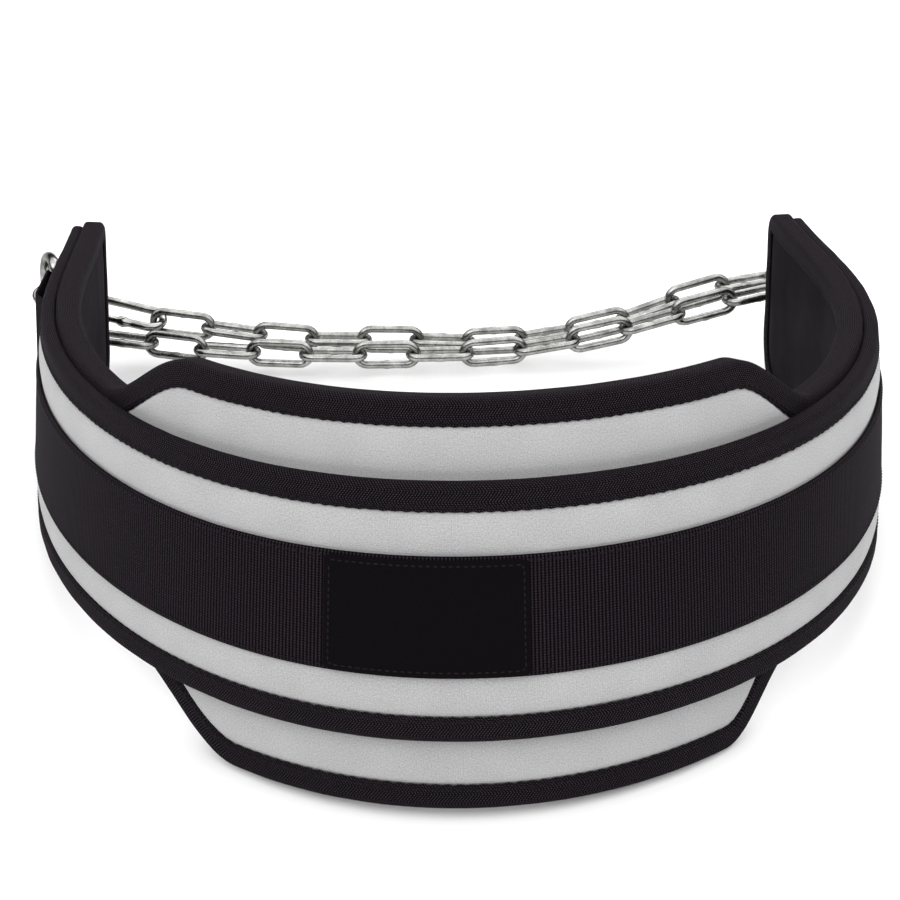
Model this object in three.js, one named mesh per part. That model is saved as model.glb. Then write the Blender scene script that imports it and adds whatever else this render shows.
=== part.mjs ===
// Dip belt: a padded lifting belt bent to the curve of a waist, with a chain between its two rings.
// Millimetres, +Z up. The label faces -Y and the two ends reach towards +Y.
// Every cloth piece is drawn flat, as s along the belt, n outwards from it and z up, and bent by one rule.

import * as THREE from 'three';

// Driving dimensions of the belt
const halfLength = 510;
const webbingWidth = 50;
const stripeWidth = 17.2;
const tapeWidth = 11.3;
const bandThickness = 7;
const padThickness = 12;
const padOverhang = 3;
const tapeThickness = 1.3;
const webbingThickness = 1.8;
const topCornerRadius = 14;
const bottomCornerRadius = 32;
const gap = 0.35;
const edgeGap = 0.6;

// Label
const labelWidth = 80;
const labelHeight = 48;
const labelThickness = 1;
const labelCentre = -15;

// Hardware
const ringWire = 7;
const ringInnerWidth = 52;
const ringDepth = 47;
const ringCornerRadius = 21;
const ringBarFromEnd = 17;
const tabLength = 74;
const tabStandoff = 16.5;
const claspWire = 5.5;
const claspLength = 90;
const claspWidth = 25;
const linkWire = 5;
const linkInnerLength = 35.3;
const linkInnerWidth = 9.4;

// Place of the middle of the belt in plan
const middleX = 5;
const middleY = -154;

// The bend: heading of the belt in plan and lean of its top towards the waist, in degrees.
// share is of the half length, from the left end to the right end.
const bendRows = [
  { share: -1, heading: -82.5, lean: 4.5 },
  { share: -0.875, heading: -84.5, lean: 6 },
  { share: -0.75, heading: -82, lean: 7.5 },
  { share: -0.5, heading: -64, lean: 9 },
  { share: -0.25, heading: -38.3, lean: 8.8 },
  { share: 0, heading: 0, lean: 10.4 },
  { share: 0.25, heading: 35.3, lean: 7.7 },
  { share: 0.5, heading: 67, lean: 6.8 },
  { share: 0.75, heading: 89, lean: 4.7 },
  { share: 0.875, heading: 92.5, lean: 3.6 },
  { share: 1, heading: 88, lean: 2.6 },
];

// The pad's wide middle: where each of its long edges leaves the band's edge and where it runs level.
// All are shares of the half length, and rise is how far that edge stands past the band's.
const padRows = {
  top: { footLeft: -0.405, flatLeft: -0.265, flatRight: 0.25, footRight: 0.37, rise: 31.5 },
  bottom: { footLeft: -0.325, flatLeft: -0.196, flatRight: 0.231, footRight: 0.316, rise: 33.3 },
};

// Chosen points of the chain between the clasp and the right ring, and back to the left ring
const upperRoute = [
  [-105, 254, -33],
  [-35, 256, -36],
  [38, 258, -38],
  [105, 261, -28],
  [172, 264, -7],
];
const lowerRoute = [
  [172, 239, -8],
  [105, 235, -25],
  [38, 233, -36],
  [-35, 233, -38],
  [-105, 234, -37],
  [-165, 240, -35],
  [-212, 248, -31.5],
];
const upperSpans = 12;
const lowerSpans = 14;
const footTurn = 38;

// Worked out from the values above
const bandHalfHeight = webbingWidth / 2 + stripeWidth + tapeWidth;
const padHalfHeight = bandHalfHeight + padOverhang;
const padFront = -bandThickness - gap;
const padBack = padFront - padThickness;
const stationStep = 26;
const leastStep = 7;
const up = new THREE.Vector3(0, 0, 1);

// Colours as the cloth and metal look
const materials = {
  stripe: cloth('#b9b8bb', 0.75),
  tape: cloth('#1d1a1e', 0.95),
  webbing: cloth('#242026', 0.85),
  label: cloth('#121013', 0.6),
  steel: metal('#b5b3ae', 0.3),
  zinc: metal('#a8a7a2', 0.38),
};

function cloth(color, roughness) {
  return new THREE.MeshStandardMaterial({ color, roughness, metalness: 0 });
}

function metal(color, roughness) {
  return new THREE.MeshStandardMaterial({ color, roughness, metalness: 1 });
}

// Value of one column at a share, on a smooth curve through the rows
function along(rows, column, share) {
  let i = rows.findIndex((row) => row.share >= share);
  i = Math.min(Math.max(i, 1), rows.length - 1);
  const at = (k) => rows[Math.min(Math.max(k, 0), rows.length - 1)];
  const slope = (k) => (at(k + 1)[column] - at(k - 1)[column]) / (at(k + 1).share - at(k - 1).share);
  const span = rows[i].share - rows[i - 1].share;
  const t = (share - rows[i - 1].share) / span;
  const from = rows[i - 1][column];
  const to = rows[i][column];
  const t2 = t * t;
  const t3 = t2 * t;
  return (2 * t3 - 3 * t2 + 1) * from + (t3 - 2 * t2 + t) * span * slope(i - 1)
    + (3 * t2 - 2 * t3) * to + (t3 - t2) * span * slope(i);
}

// Plan of the belt's outer face at webbing height: points a few millimetres apart, by adding up headings
const planStep = 5;
const planCount = Math.ceil((halfLength + 60) / planStep);
const plan = walkPlan();

function headingAt(s) {
  const share = THREE.MathUtils.clamp(s / halfLength, -1, 1);
  return THREE.MathUtils.degToRad(along(bendRows, 'heading', share));
}

function leanAt(s) {
  const share = THREE.MathUtils.clamp(s / halfLength, -1, 1);
  return THREE.MathUtils.degToRad(along(bendRows, 'lean', share));
}

function walkPlan() {
  const points = new Map([[0, new THREE.Vector3(middleX, middleY, 0)]]);
  for (const side of [-1, 1]) {
    for (let k = 1; k <= planCount; k += 1) {
      const heading = headingAt(side * (k - 0.5) * planStep);
      const step = new THREE.Vector3(Math.cos(heading), Math.sin(heading), 0);
      const last = points.get(side * (k - 1));
      points.set(side * k, last.clone().addScaledVector(step, side * planStep));
    }
  }
  return points;
}

// The bent place of a flat point
function bend(s, n, z) {
  const k = Math.floor(s / planStep);
  const foot = plan.get(k).clone().lerp(plan.get(k + 1), s / planStep - k);
  const heading = headingAt(s);
  const lean = leanAt(s);
  const out = new THREE.Vector3(Math.sin(heading), -Math.cos(heading), 0);
  const rise = up.clone().multiplyScalar(Math.cos(lean)).addScaledVector(out, -Math.sin(lean));
  const normal = out.multiplyScalar(Math.cos(lean)).addScaledVector(up, Math.sin(lean));
  return foot.addScaledVector(rise, z).addScaledVector(normal, n);
}

// Half height of the wide pad above or below the webbing's middle, without its end corners
function padHeight(side, s) {
  const row = side > 0 ? padRows.top : padRows.bottom;
  const share = s / halfLength;
  const left = THREE.MathUtils.smoothstep(share, row.footLeft, row.flatLeft);
  const right = 1 - THREE.MathUtils.smoothstep(share, row.flatRight, row.footRight);
  return padHalfHeight + (row.rise - padOverhang) * Math.min(left, right);
}

function bandHeight() {
  return bandHalfHeight;
}

function cornerRadius(side) {
  return side > 0 ? topCornerRadius : bottomCornerRadius;
}

// Height of the cloth's edge at s, moved in by inset, with the end corners rounded
function edgeHeight(height, side, s, inset) {
  const radius = cornerRadius(side);
  const past = Math.abs(s) - (halfLength - radius);
  if (past > 0) {
    const reach = Math.max(radius - inset, 0);
    const arc = Math.sqrt(Math.max(reach * reach - past * past, 0));
    return side * (height(side, s) - radius + arc);
  }
  const run = 1;
  const slope = (height(side, s + run) - height(side, s - run)) / (2 * run);
  return side * (height(side, s) - inset * Math.hypot(1, slope));
}

// Stations along the belt that all cloth shares, closer together on the pad's shoulders
const shared = sharedStations();

function sharedStations() {
  const start = halfLength - bottomCornerRadius;
  const list = [-start, start];
  for (const row of [padRows.top, padRows.bottom]) {
    for (const [foot, flat] of [[row.footLeft, row.flatLeft], [row.flatRight, row.footRight]]) {
      for (const part of [0, 0.35, 0.65, 1]) {
        list.push(halfLength * THREE.MathUtils.lerp(foot, flat, part));
      }
    }
  }
  const count = Math.ceil((2 * start) / stationStep);
  for (let k = 1; k < count; k += 1) {
    list.push(-start + (2 * start * k) / count);
  }
  const kept = [];
  list.forEach((s) => {
    if (kept.every((other) => Math.abs(other - s) > leastStep)) kept.push(s);
  });
  return kept.sort((a, b) => a - b);
}

// Shared stations between two limits, with both limits
function stationsBetween(from, to) {
  return [from, ...shared.filter((s) => s > from + 1 && s < to - 1), to];
}

// Shared stations and those on the end corners, up to a limit on both sides
function stationsTo(limit) {
  const list = [...shared];
  for (const radius of [bottomCornerRadius, topCornerRadius]) {
    for (const degrees of [35, 65]) {
      const s = halfLength - radius + radius * Math.sin(THREE.MathUtils.degToRad(degrees));
      list.push(s, -s);
    }
  }
  const inside = list.filter((s) => Math.abs(s) < limit - 1);
  return [-limit, ...inside.sort((a, b) => a - b), limit];
}

// A closed geometry whose vertices are moved by a rule, with its faces turned outwards
function moved(geometry, rule) {
  const place = geometry.getAttribute('position');
  const point = new THREE.Vector3();
  for (let k = 0; k < place.count; k += 1) {
    point.fromBufferAttribute(place, k);
    const to = rule(point);
    place.setXYZ(k, to.x, to.y, to.z);
  }
  return outward(geometry);
}

function outward(geometry) {
  const flat = geometry.index ? geometry.toNonIndexed() : geometry;
  const place = flat.getAttribute('position');
  const corner = [0, 1, 2].map(() => new THREE.Vector3());
  let volume = 0;
  for (let k = 0; k < place.count; k += 3) {
    corner.forEach((c, j) => c.fromBufferAttribute(place, k + j));
    volume += corner[0].dot(corner[1].clone().cross(corner[2]));
  }
  if (volume < 0) {
    for (let k = 0; k < place.count; k += 3) {
      corner.forEach((c, j) => c.fromBufferAttribute(place, k + j));
      place.setXYZ(k + 1, corner[2].x, corner[2].y, corner[2].z);
      place.setXYZ(k + 2, corner[1].x, corner[1].y, corner[1].z);
    }
  }
  flat.computeVertexNormals();
  return flat;
}

// A strip run along the belt: a section extruded in as many steps as there are stations
function strip(section, list, rule) {
  const geometry = new THREE.ExtrudeGeometry(new THREE.Shape(section), {
    depth: list.length - 1,
    steps: list.length - 1,
    bevelEnabled: false,
  });
  return moved(geometry, (point) => rule(list[Math.round(point.z)], point.x, point.y));
}

// Padded body: full thickness inside the tape, and a thinner tongue that the tape folds over.
// Touching bodies are run along the belt in opposite ways, so that their facets have the same diagonals.
function paddedBody(front, back, height, way) {
  const tongueInset = tapeThickness + 2 * edgeGap;
  const fullInset = tapeWidth + edgeGap;
  const thin = tapeThickness + gap;
  const far = 1000;
  const fullEnd = halfLength - fullInset;
  const section = [];
  for (const side of [-1, 1]) {
    const corners = [
      [front, fullInset], [front - thin, fullInset], [front - thin, tongueInset],
      [back + thin, tongueInset], [back + thin, fullInset], [back, fullInset],
    ];
    const ordered = side < 0 ? corners.reverse() : corners;
    ordered.forEach(([n, inset]) => section.push(new THREE.Vector2(n, side * (far - inset))));
  }
  const inner = stationsTo(halfLength - tongueInset).filter((s) => Math.abs(Math.abs(s) - fullEnd) > 1);
  const list = [...inner, -fullEnd, fullEnd, -fullEnd - gap, fullEnd + gap].sort((a, b) => way * (a - b));
  return strip(section, list, (s, n, code) => {
    const side = Math.sign(code);
    const inset = far - Math.abs(code);
    const beyond = Math.abs(s) > fullEnd + gap / 2;
    const depth = beyond ? THREE.MathUtils.clamp(n, back + thin, front - thin) : n;
    if (inset > tongueInset && beyond) {
      return bend(s, depth, edgeHeight(height, side, Math.sign(s) * fullEnd, inset) * 0.8);
    }
    return bend(s, depth, edgeHeight(height, side, s, inset));
  });
}

// Points of the whole edge in order round the belt, as a rule from inset to a flat point
function edgeStations(height) {
  const list = [];
  const straight = stationsTo(halfLength - bottomCornerRadius);
  const top = stationsTo(halfLength - topCornerRadius);
  const edge = (side, s) => list.push((inset) => [s, edgeHeight(height, side, s, inset)]);
  const corner = (end, side, angles) => {
    const radius = cornerRadius(side);
    angles.forEach((degrees) => {
      const angle = THREE.MathUtils.degToRad(degrees);
      list.push((inset) => [
        end * (halfLength - radius + (radius - inset) * Math.sin(angle)),
        side * (height(side, end * halfLength) - radius + (radius - inset) * Math.cos(angle)),
      ]);
    });
  };
  const opening = [30, 60, 90];
  const closing = [90, 65, 40, 18];
  top.forEach((s) => edge(1, s));
  corner(1, 1, opening);
  corner(1, -1, closing);
  [...straight].reverse().forEach((s) => edge(-1, s));
  corner(-1, -1, [...closing].reverse());
  corner(-1, 1, [...opening].reverse());
  return list;
}

// Tape folded over the whole edge of a padded body, as one ring
function foldedTape(front, back, height) {
  const round = tapeThickness * 1.4;
  const profile = [
    [front, tapeWidth], [front, round], [front - round, 0],
    [back + round, 0], [back, round], [back, tapeWidth],
    [back + tapeThickness, tapeWidth], [back + tapeThickness, tapeThickness],
    [front - tapeThickness, tapeThickness], [front - tapeThickness, tapeWidth],
  ];
  const ringRadius = 100;
  const outline = edgeStations(height);
  const points = [...profile, profile[0]].map(([n, inset]) => new THREE.Vector2(ringRadius - inset, n));
  const ring = new THREE.LatheGeometry(points, outline.length);
  return moved(ring, (point) => {
    const turn = Math.atan2(point.x, point.z) / (2 * Math.PI) + 1;
    const k = Math.round(turn * outline.length) % outline.length;
    const inset = ringRadius - Math.hypot(point.x, point.z);
    const [s, z] = outline[k](inset);
    return bend(s, point.y, z);
  });
}

// A flat strip of cloth laid on the band's face
function layer(from, to, halfHeight, inner, outer, way) {
  const section = [
    new THREE.Vector2(inner, -halfHeight), new THREE.Vector2(outer, -halfHeight),
    new THREE.Vector2(outer, halfHeight), new THREE.Vector2(inner, halfHeight),
  ];
  const list = stationsBetween(from, to).sort((a, b) => way * (a - b));
  return strip(section, list, bend);
}

// A loop of round wire through flat points, fused into one ring
function wireLoop(points, wire, sides) {
  const count = points.length;
  const core = 100;
  const ring = new THREE.TorusGeometry(core, wire / 2, sides, count);
  return moved(ring, (point) => {
    const turn = Math.atan2(point.y, point.x) / (2 * Math.PI) + 1;
    const k = Math.round(turn * count) % count;
    const tangent = points[(k + 1) % count].clone().sub(points[(k + count - 1) % count]).normalize();
    const out = Math.hypot(point.x, point.y) - core;
    return new THREE.Vector3(points[k].x + tangent.y * out, points[k].y - tangent.x * out, point.z);
  });
}

// Two straight sides and two half circles: points on the middle of the wire, flat at both tips
function ovalPoints(innerLength, innerWidth, wire, count) {
  const step = (2 * Math.PI) / count;
  const radius = (innerWidth + wire) / 2 / Math.cos(step / 2);
  const reach = (innerLength - innerWidth) / 2;
  return Array.from({ length: count }, (_, k) => {
    const angle = -Math.PI / 2 + (k + 0.5) * step;
    const side = Math.sign(Math.cos(angle));
    return new THREE.Vector2(side * reach + radius * Math.cos(angle), radius * Math.sin(angle));
  });
}

// A ring with a straight bar at x = 0 and its bow at x = ringDepth
function ringPoints() {
  const half = (ringInnerWidth + ringWire) / 2;
  const small = ringWire * 0.6;
  const bow = ringCornerRadius;
  const shape = new THREE.Path();
  shape.moveTo(0, half - small);
  shape.lineTo(0, -half + small);
  shape.absarc(small, -half + small, small, Math.PI, 1.5 * Math.PI, false);
  shape.absellipse(ringDepth - bow * 2, -half + bow, bow * 2, bow, -Math.PI / 2, 0, false);
  shape.absellipse(ringDepth - bow * 2, half - bow, bow * 2, bow, 0, Math.PI / 2, false);
  shape.absarc(small, half - small, small, Math.PI / 2, Math.PI, false);
  const points = shape.getPoints(4);
  return points.filter((p, k) => points.slice(0, k).every((q) => q.distanceTo(p) > 0.5));
}

const linkGeometry = wireLoop(ovalPoints(linkInnerLength, linkInnerWidth, linkWire, 12), linkWire, 5);
const claspGeometry = wireLoop(
  ovalPoints(claspLength - 2 * claspWire, claspWidth - 2 * claspWire, claspWire, 16), claspWire, 6);
const ringGeometry = wireLoop(ringPoints(), ringWire, 6);

const group = new THREE.Group();
const belt = new THREE.Group();
group.add(belt);

function add(name, geometry, material) {
  const mesh = new THREE.Mesh(geometry, material);
  mesh.name = name;
  belt.add(mesh);
  return mesh;
}

// Turn a mesh so that its own x runs along one direction and its own z along another
function aim(mesh, place, forward, face) {
  const x = forward.clone().normalize();
  const z = face.clone().addScaledVector(x, -face.dot(x)).normalize();
  const y = z.clone().cross(x);
  mesh.quaternion.setFromRotationMatrix(new THREE.Matrix4().makeBasis(x, y, z));
  mesh.position.copy(place);
}

// Cloth
add('back_pad', paddedBody(padFront, padBack, padHeight, -1), materials.stripe);
add('pad_binding', foldedTape(padFront, padBack, padHeight), materials.tape);
add('outer_band', paddedBody(0, -bandThickness, bandHeight, 1), materials.stripe);
add('band_binding', foldedTape(0, -bandThickness, bandHeight), materials.tape);

const webbingEnd = halfLength - tapeWidth - edgeGap;
add('center_webbing', layer(-webbingEnd, webbingEnd, webbingWidth / 2,
  gap, gap + webbingThickness, -1), materials.webbing);

const labelBack = 2 * gap + webbingThickness;
add('label_patch', layer(labelCentre - labelWidth / 2, labelCentre + labelWidth / 2, labelHeight / 2,
  labelBack, labelBack + labelThickness, 1), materials.label);

// Tab: webbing sewn to the belt, raised and folded round the bar of the ring
const barN = tabStandoff - webbingThickness - gap - ringWire / 2;
const barReach = halfLength - ringBarFromEnd;

function tabShape() {
  const fold = ringWire / 2 + gap + webbingThickness;
  const hole = ringWire / 2 + gap;
  const foot = 3 * gap + webbingThickness;
  const from = barReach - tabLength;
  const shape = new THREE.Shape();
  shape.moveTo(from, foot);
  stationsBetween(from, barReach - fold).slice(1).forEach((s) => shape.lineTo(s, foot));
  shape.lineTo(barReach, barN - fold);
  shape.absarc(barReach, barN, fold, -Math.PI / 2, Math.PI / 2, false);
  const crest = barReach - tabLength * 0.62;
  stationsBetween(crest, barReach).reverse().slice(1).forEach((s) => shape.lineTo(s, barN + fold));
  shape.lineTo(barReach - tabLength * 0.9, foot + 2 * webbingThickness);
  shape.lineTo(from, foot + webbingThickness);
  shape.closePath();
  const bore = new THREE.Path();
  bore.absarc(barReach, barN, hole * 1.06, 0, 2 * Math.PI, true);
  shape.holes.push(bore);
  return shape;
}

function ringTab(end) {
  const geometry = new THREE.ExtrudeGeometry(tabShape(), {
    depth: webbingWidth, steps: 1, bevelEnabled: false, curveSegments: 5,
  });
  return moved(geometry, (point) => bend(end * point.x, point.y, point.z - webbingWidth / 2));
}

add('ring_tab_left', ringTab(-1), materials.webbing);
add('ring_tab_right', ringTab(1), materials.webbing);

// Rings: the bar stands in the fold of the tab and the bow swings out from the belt's end
const rings = { left: { end: -1, swing: 16 }, right: { end: 1, swing: 8 } };

for (const [side, ring] of Object.entries(rings)) {
  const bar = bend(ring.end * barReach, barN, 0);
  const barTop = bend(ring.end * barReach, barN, 1).sub(bar).normalize();
  const heading = headingAt(ring.end * barReach);
  const forward = new THREE.Vector3(Math.cos(heading), Math.sin(heading), 0).multiplyScalar(ring.end);
  forward.addScaledVector(barTop, -forward.dot(barTop)).normalize();
  forward.applyAxisAngle(barTop, THREE.MathUtils.degToRad(-ring.end * ring.swing));
  const face = forward.clone().cross(barTop).negate();
  ring.mesh = add('d_ring_' + side, ringGeometry, materials.steel);
  aim(ring.mesh, bar, forward, face);
  ring.mesh.updateMatrix();
  ring.at = (x, y) => new THREE.Vector3(x, y, 0).applyMatrix4(ring.mesh.matrix);
}

// Clasp: hooked on the bow of the left ring and drawn towards the chain
const claspTilt = THREE.MathUtils.degToRad(15);
const claspReach = claspLength / 2 - claspWire / 2;
const claspHold = rings.left.at(ringDepth, 0);
claspHold.z -= 6;
const claspForward = new THREE.Vector3(1, -0.02, -0.25).normalize();
const claspSeat = ringWire / 2 + claspWire / 2 + edgeGap;
const claspCentre = claspHold.clone().addScaledVector(claspForward, claspReach - claspSeat);
const clasp = add('clasp', claspGeometry, materials.steel);
aim(clasp, claspCentre, claspForward, up.clone().applyAxisAngle(claspForward, claspTilt));
const claspTip = claspCentre.clone().addScaledVector(claspForward, claspReach);

// Chain: from the clasp through the right ring and back to the foot of the left ring
const linkSeat = linkInnerLength / 2 - 2 * edgeGap;
const vectors = (list) => list.map((p) => new THREE.Vector3(...p));
const links = [];

function hookPoint(wirePlace, wire, towards) {
  const forward = towards.clone().sub(wirePlace).normalize();
  return wirePlace.clone().addScaledVector(forward, linkSeat - wire / 2);
}

const turnPlace = rings.right.at(ringDepth, 0);
const sideBar = (linkInnerWidth + linkWire) / 2;
turnPlace.x += ringWire / 2 + linkWire / 2 + edgeGap + sideBar;
const runApart = 11.2;
const hookX = turnPlace.x - sideBar + linkWire / 2 - linkSeat;
const farHook = new THREE.Vector3(hookX, turnPlace.y + runApart, turnPlace.z);
const nearHook = new THREE.Vector3(hookX, turnPlace.y - runApart, turnPlace.z);

function run(points, spans, firstFace) {
  const curve = new THREE.CatmullRomCurve3(points, false, 'centripetal');
  for (let k = 0; k <= spans; k += 1) {
    const place = curve.getPointAt(k / spans);
    const forward = curve.getTangentAt(k / spans);
    const upright = (k + firstFace) % 2 === 0;
    const face = upright ? forward.clone().cross(up).normalize() : up;
    links.push({ place, forward, face });
  }
}

const upperPoints = vectors(upperRoute);
run([hookPoint(claspTip, claspWire, upperPoints[0]), ...upperPoints, farHook], upperSpans, 0);
links.push({ place: turnPlace, forward: new THREE.Vector3(0, -1, 0), face: up });
const lowerPoints = vectors(lowerRoute);
const footAngle = THREE.MathUtils.degToRad(footTurn);
const footWire = rings.left.at(
  ringDepth - 2 * ringCornerRadius * (1 - Math.sin(footAngle)),
  (ringInnerWidth + ringWire) / 2 - ringCornerRadius * (1 - Math.cos(footAngle)));
run([nearHook, ...lowerPoints, hookPoint(footWire, ringWire, lowerPoints.at(-1))], lowerSpans, 0);

links.forEach((link, k) => {
  const mesh = add('chain_link_' + String(k + 1).padStart(2, '0'), linkGeometry, materials.zinc);
  aim(mesh, link.place, link.forward, link.face);
});

// Rest: the belt leans back until the pad's foot and both ends stand on the floor
function lowestAt(angle) {
  const turn = new THREE.Matrix4().makeRotationX(angle);
  const lowest = { front: Infinity, back: Infinity };
  const point = new THREE.Vector3();
  belt.updateMatrixWorld(true);
  belt.traverse((mesh) => {
    if (!mesh.isMesh) return;
    const place = mesh.geometry.getAttribute('position');
    for (let k = 0; k < place.count; k += 1) {
      point.fromBufferAttribute(place, k).applyMatrix4(mesh.matrixWorld);
      const half = point.y < 0 ? 'front' : 'back';
      lowest[half] = Math.min(lowest[half], point.applyMatrix4(turn).z);
    }
  });
  return lowest.front - lowest.back;
}

let restLow = THREE.MathUtils.degToRad(-15);
let restHigh = 0;
for (let k = 0; k < 30; k += 1) {
  const middle = (restLow + restHigh) / 2;
  if (lowestAt(middle) < 0) {
    restHigh = middle;
  } else {
    restLow = middle;
  }
}
belt.rotation.x = (restLow + restHigh) / 2;
group.updateMatrixWorld(true);
const box = new THREE.Box3().setFromObject(group, true);
belt.position.set(-(box.min.x + box.max.x) / 2, -(box.min.y + box.max.y) / 2, -box.min.z);

export default group;
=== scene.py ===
"""Dip belt: a padded lifting belt bent to the waist, with webbing, bound edges, rings, a clasp and a chain.

Cloth pieces are drawn flat, as s along the belt, n outwards from it and z up the cloth, and then bent by
one rule to the curve of the waist. All lengths are in metres.
"""

import functools
import math
import bmesh
import bpy
import numpy as np
from bpy.props import FloatProperty, FloatVectorProperty, IntProperty, PointerProperty
from mathutils import Matrix, Vector, noise


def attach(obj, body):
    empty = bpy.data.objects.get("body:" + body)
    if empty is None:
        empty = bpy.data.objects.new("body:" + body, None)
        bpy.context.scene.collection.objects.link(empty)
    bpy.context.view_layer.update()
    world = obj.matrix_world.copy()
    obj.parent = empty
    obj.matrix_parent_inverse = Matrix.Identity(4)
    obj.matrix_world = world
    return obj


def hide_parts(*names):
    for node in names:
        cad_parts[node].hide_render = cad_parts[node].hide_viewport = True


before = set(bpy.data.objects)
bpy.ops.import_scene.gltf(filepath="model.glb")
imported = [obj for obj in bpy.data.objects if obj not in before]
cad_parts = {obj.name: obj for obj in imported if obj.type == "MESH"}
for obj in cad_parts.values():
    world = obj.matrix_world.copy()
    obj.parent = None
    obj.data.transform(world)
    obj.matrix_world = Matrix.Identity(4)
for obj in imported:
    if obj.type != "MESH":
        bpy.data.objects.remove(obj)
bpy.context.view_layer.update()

bl_info = {
    "name": "Dip Belt",
    "version": (1, 0, 0),
    "blender": (4, 5, 0),
    "location": "View3D > Sidebar > Dip Belt",
    "description": "Makes a padded dip belt with its rings, clasp and chain",
    "category": "Add Mesh",
}

# Place of the middle of the belt in plan, and the turn and place that stand the belt on the floor
MIDDLE = (0.005, -0.154)
REST_TILT = math.radians(-5.416672371793538)
REST_PLACE = Vector((0.00547142520, -0.05846845904, 0.07702188265))
REST_TURN = Matrix.Rotation(REST_TILT, 3, "X")

# The bend: share of the half length, heading of the belt in plan, lean of its top towards the waist
BEND_ROWS = (
    {"share": -1.0, "heading": -82.5, "lean": 4.5},
    {"share": -0.875, "heading": -84.5, "lean": 6.0},
    {"share": -0.75, "heading": -82.0, "lean": 7.5},
    {"share": -0.5, "heading": -64.0, "lean": 9.0},
    {"share": -0.25, "heading": -38.3, "lean": 8.8},
    {"share": 0.0, "heading": 0.0, "lean": 10.4},
    {"share": 0.25, "heading": 35.3, "lean": 7.7},
    {"share": 0.5, "heading": 67.0, "lean": 6.8},
    {"share": 0.75, "heading": 89.0, "lean": 4.7},
    {"share": 0.875, "heading": 92.5, "lean": 3.6},
    {"share": 1.0, "heading": 88.0, "lean": 2.6},
)

# The pad's wide middle, in shares of the half length
PAD_ROWS = {
    1: {"foot_left": -0.405, "flat_left": -0.265, "flat_right": 0.25, "foot_right": 0.37},
    -1: {"foot_left": -0.325, "flat_left": -0.196, "flat_right": 0.231, "foot_right": 0.316},
}

UP = Vector((0.0, 0.0, 1.0))


def length(name, description, default):
    return FloatProperty(name=name, description=description, default=default, unit="LENGTH",
                         subtype="DISTANCE")


def shade(name, description, default):
    return FloatVectorProperty(name=name, description=description, default=default, size=3, min=0.0, max=1.0,
                               subtype="COLOR")


class BeltSizes(bpy.types.PropertyGroup):
    """Sizes of the dip belt"""

    half_length: length("Half length", "Half of the padding's length along the belt", 0.510)
    webbing_width: length("Webbing width", "Width of the webbing along the middle", 0.050)
    webbing_thickness: length("Webbing thickness", "Thickness of the webbing", 0.0018)
    stripe_width: length("Stripe width", "Width of the face cloth between webbing and binding", 0.0172)
    tape_width: length("Binding width", "Width of the binding on each face", 0.0113)
    tape_thickness: length("Binding thickness", "Thickness of the binding tape", 0.0013)
    band_thickness: length("Band thickness", "Thickness of the front band", 0.007)
    pad_thickness: length("Pad thickness", "Thickness of the wide pad behind the band", 0.012)
    pad_overhang: length("Pad overhang", "How far the pad stands past the band's edge along the sides", 0.003)
    pad_top_rise: length("Pad top rise", "How far the pad's top stands past the band's edge", 0.0315)
    pad_foot_rise: length("Pad foot rise", "How far the pad's foot stands past the band's edge", 0.0333)
    top_corner: length("Top corner radius", "Radius of the upper corners of both ends", 0.014)
    bottom_corner: length("Bottom corner radius", "Radius of the lower corners of both ends", 0.032)
    gap: length("Gap", "Clearance between layers", 0.00035)
    label_width: length("Patch width", "Width of the blank patch", 0.080)
    label_height: length("Patch height", "Height of the blank patch", 0.048)
    label_thickness: length("Patch thickness", "Thickness of the blank patch", 0.001)
    label_centre: length("Patch centre", "Place of the patch's middle along the belt", -0.015)
    ring_wire: length("Ring wire", "Thickness of the rings' wire", 0.007)
    ring_inner_width: length("Ring inner width", "Width inside a ring", 0.052)
    ring_depth: length("Ring depth", "Distance from a ring's bar to its bow", 0.047)
    ring_corner: length("Ring corner", "Corner radius of a ring's bow", 0.021)
    ring_from_end: length("Ring from end", "Distance of a ring's bar from the end of the belt", 0.017)
    tab_length: length("Tab length", "Length of the tab that holds a ring", 0.074)
    tab_standoff: length("Tab standoff", "Height of the tab over the belt's face", 0.0165)
    clasp_wire: length("Clasp wire", "Thickness of the clasp's wire", 0.0055)
    clasp_length: length("Clasp length", "Length of the clasp", 0.090)
    clasp_width: length("Clasp width", "Width of the clasp", 0.025)
    link_wire: length("Link wire", "Thickness of the chain's wire", 0.005)
    link_inner_length: length("Link inner length", "Length inside a link", 0.0353)
    link_inner_width: length("Link inner width", "Width inside a link", 0.0094)
    stitch_pitch: length("Stitch pitch", "Distance from one stitch to the next", 0.0036)
    station_step: length("Station step", "Length of one facet along the cloth", 0.004)
    wire_sides: IntProperty(name="Wire sides", description="Facets round each wire", default=14,
                            min=6, max=32)


class BeltColours(bpy.types.PropertyGroup):
    """Colours of the dip belt"""

    face_cloth: shade("Face cloth", "Silver-grey cloth of the stripes", (0.40, 0.40, 0.402))
    lining: shade("Lining", "Smooth black cloth on the waist side", (0.0085, 0.0062, 0.0087))
    tape: shade("Binding", "Black woven binding tape", (0.0085, 0.0065, 0.0085))
    webbing: shade("Webbing", "Black ribbed webbing", (0.0052, 0.0038, 0.0052))
    patch: shade("Patch", "Smooth black patch", (0.0030, 0.0024, 0.0030))
    thread: shade("Thread", "Black sewing thread", (0.010, 0.008, 0.010))
    chain: shade("Chain", "Zinc plating of the chain", (0.30, 0.30, 0.288))
    steel: shade("Steel", "Polished rings and clasp", (0.34, 0.337, 0.325))
    floor: shade("Floor", "Plain pale floor", (0.90, 0.90, 0.90))


def sizes():
    return bpy.context.scene.belt_sizes


def colours():
    return bpy.context.scene.belt_colours


# The bend of the belt

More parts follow.
